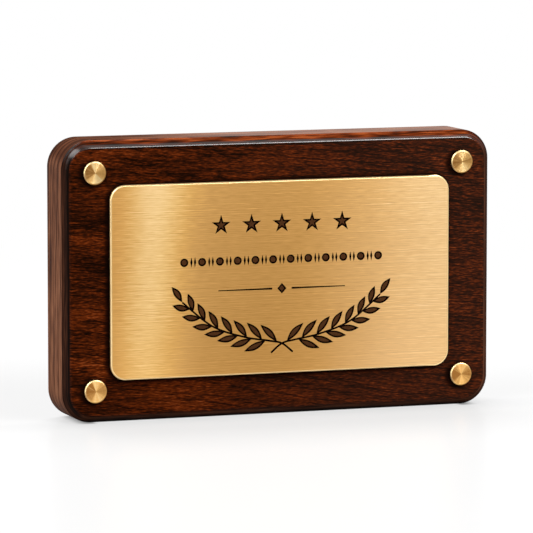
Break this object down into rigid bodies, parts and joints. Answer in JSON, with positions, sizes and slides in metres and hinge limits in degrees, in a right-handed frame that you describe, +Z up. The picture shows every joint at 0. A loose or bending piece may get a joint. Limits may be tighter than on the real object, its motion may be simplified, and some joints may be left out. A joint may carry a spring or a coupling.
{
  "type": "award plaque",
  "caption": "Free-standing bevelled rosewood plaque with a laurel-engraved brushed brass plate and turned brass corner caps over sunk screws.",
  "frame": {"origin": "middle of the board's flat bottom face, halfway between its front and back faces", "axes": "+X to the right as seen from the front, +Y from the engraved front to the back, +Z up"},
  "size_m": [0.2032, 0.0277, 0.126],
  "materials": {
    "rosewood": "dark reddish-brown streaked rosewood, satin lacquer",
    "black_foam": "black closed-cell foam tape",
    "brushed_brass": "brushed along its length, polished rim, engraving filled with dark brown enamel",
    "turned_brass": "fine turned face with a polished chamfer",
    "zinc_steel": "bright zinc plating"
  },
  "bodies": {
    "root": {"board": "rosewood", "plate_adhesive": "black_foam", "engraved_plate": "brushed_brass", "cap_top_left": "turned_brass", "cap_top_right": "turned_brass", "cap_bottom_left": "turned_brass", "cap_bottom_right": "turned_brass", "screw_top_left": "zinc_steel", "screw_top_right": "zinc_steel", "screw_bottom_left": "zinc_steel", "screw_bottom_right": "zinc_steel"}
  },
  "joints": []
}
